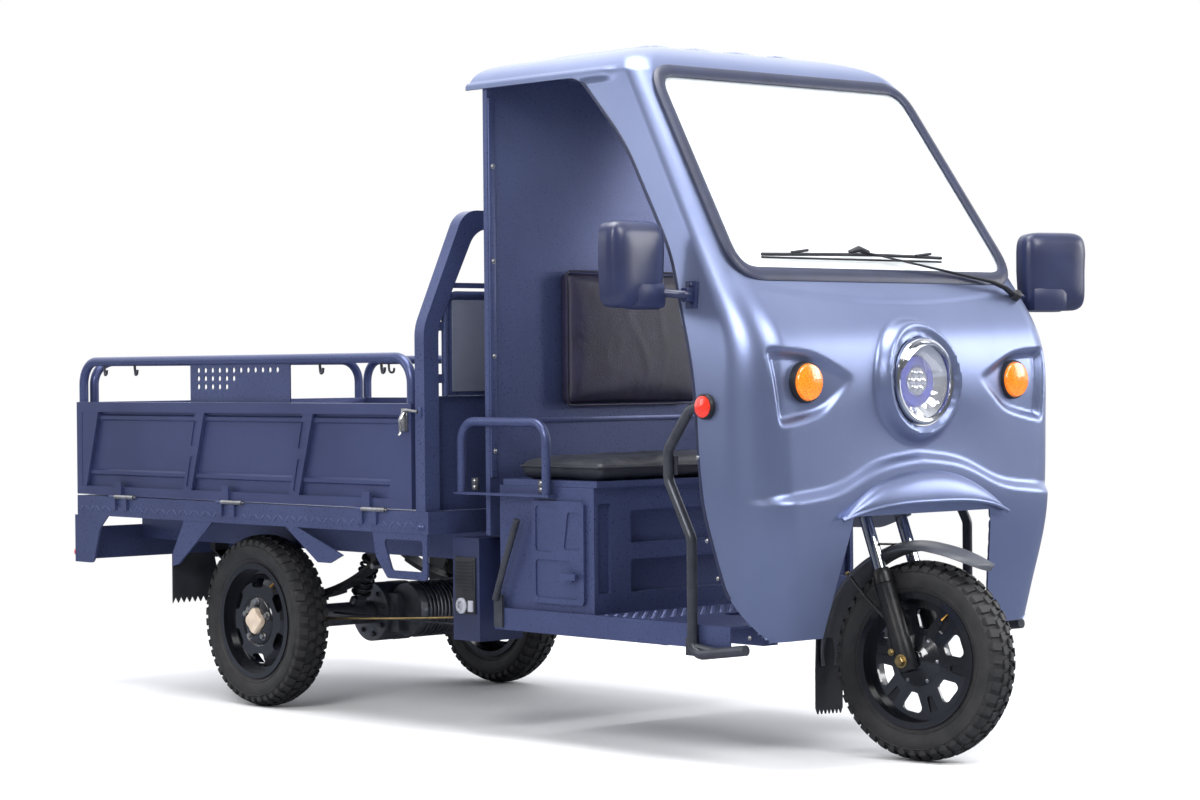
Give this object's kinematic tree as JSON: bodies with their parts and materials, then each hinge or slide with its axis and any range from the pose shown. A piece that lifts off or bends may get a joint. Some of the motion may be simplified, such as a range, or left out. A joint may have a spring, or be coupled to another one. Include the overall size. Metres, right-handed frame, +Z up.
{
  "type": "electric cargo tricycle",
  "caption": "Electric cargo tricycle with an open-sided cab over one steered front wheel, a seat box, and a drop-side cargo bed with a tailgate over a sprung rear axle.",
  "frame": {"origin": "on the floor under the middle of the overall length and width", "axes": "+X forward, +Y to the driver's left, +Z up"},
  "size_m": [3.2643, 1.5928, 1.8116],
  "materials": {
    "body_paint": "satin",
    "frame_paint": "satin",
    "black_paint": "gloss",
    "tyre_rubber": "matte",
    "seal_rubber": "matte",
    "seat_vinyl": "satin",
    "windscreen_glass": "clear",
    "lamp_glass": "clear",
    "chrome": "polished",
    "amber_plastic": "gloss",
    "red_plastic": "gloss",
    "black_plastic": "satin",
    "cast_aluminium": "satin",
    "steel_spring": "satin",
    "battery_case": "matte"
  },
  "bodies": {
    "chassis": {"chassis_frame": "frame_paint", "rear_axle": "cast_aluminium", "rear_springs": "steel_spring", "floor_pan": "frame_paint", "seat_box": "frame_paint", "battery_pack": "battery_case", "armrests": "frame_paint", "cab_rear_wall": "frame_paint", "backrest": "seat_vinyl", "cab_shell": "body_paint", "front_visor": "body_paint", "windscreen": "windscreen_glass", "windscreen_seal": "seal_rubber", "headlamp": "chrome", "headlamp_lens": "lamp_glass", "signal_lamps": "amber_plastic", "mirror_right": "black_plastic", "mirror_left": "black_plastic", "guard_tubes": "black_paint", "bed_floor": "frame_paint", "bed_bulkhead": "frame_paint", "hoop_guard": "frame_paint", "arch_brackets": "frame_paint", "mud_flaps": "seal_rubber", "rear_lamps": "red_plastic", "charger_box": "black_plastic", "brake_linkage": "steel_spring"},
    "steering": {"front_fork": "black_paint", "handlebar": "black_paint", "front_mudguard": "black_plastic"},
    "front_wheel": {"front_tyre": "tyre_rubber", "front_rim": "black_paint"},
    "rear_wheel_right": {"rear_tyre_right": "tyre_rubber", "rear_rim_right": "black_paint"},
    "rear_wheel_left": {"rear_tyre_left": "tyre_rubber", "rear_rim_left": "black_paint"},
    "side_right": {"side_panel_right": "frame_paint", "side_rail_right": "frame_paint"},
    "side_left": {"side_panel_left": "frame_paint", "side_rail_left": "frame_paint"},
    "tailgate": {"tailgate": "frame_paint"},
    "seat_lid": {"seat_lid": "frame_paint", "seat_cushion": "seat_vinyl"},
    "battery_door_right": {"battery_door_right": "frame_paint"},
    "battery_door_left": {"battery_door_left": "frame_paint"}
  },
  "joints": [
    {"name": "steering", "type": "hinge", "parent": "chassis", "child": "steering", "pos_m": [1.34449, 0, 0.23137], "axis": [-0.3584, 0, 0.9336], "range_deg": [-49, 31]},
    {"name": "front_wheel_spin", "type": "hinge", "parent": "steering", "child": "front_wheel", "pos_m": [1.38598, 0.00704, 0.2473], "axis": [-0.146, 0.9877, -0.0561], "continuous": true},
    {"name": "rear_wheel_right_spin", "type": "hinge", "parent": "chassis", "child": "rear_wheel_right", "pos_m": [-0.7735, -0.4425, 0.25], "axis": [0, 1, 0], "continuous": true},
    {"name": "rear_wheel_left_spin", "type": "hinge", "parent": "chassis", "child": "rear_wheel_left", "pos_m": [-0.7735, 0.4425, 0.25], "axis": [0, 1, 0], "continuous": true},
    {"name": "side_right_drop", "type": "hinge", "parent": "chassis", "child": "side_right", "pos_m": [0, -0.574, 0.598], "axis": [1, 0, 0], "range_deg": [0, 180]},
    {"name": "side_left_drop", "type": "hinge", "parent": "chassis", "child": "side_left", "pos_m": [0, 0.574, 0.598], "axis": [-1, 0, 0], "range_deg": [0, 180]},
    {"name": "tailgate_drop", "type": "hinge", "parent": "chassis", "child": "tailgate", "pos_m": [-1.6035, 0, 0.598], "axis": [0, -1, 0], "range_deg": [0, 180]},
    {"name": "seat_lid_lift", "type": "hinge", "parent": "chassis", "child": "seat_lid", "pos_m": [0.3515, 0, 0.6805], "axis": [0, -1, 0], "range_deg": [0, 55]},
    {"name": "battery_door_right_swing", "type": "hinge", "parent": "chassis", "child": "battery_door_right", "pos_m": [0.4715, -0.489, 0.504], "axis": [0, 0, -1], "range_deg": [0, 90]},
    {"name": "battery_door_left_swing", "type": "hinge", "parent": "chassis", "child": "battery_door_left", "pos_m": [0.4715, 0.489, 0.504], "axis": [0, 0, 1], "range_deg": [0, 90]}
  ]
}
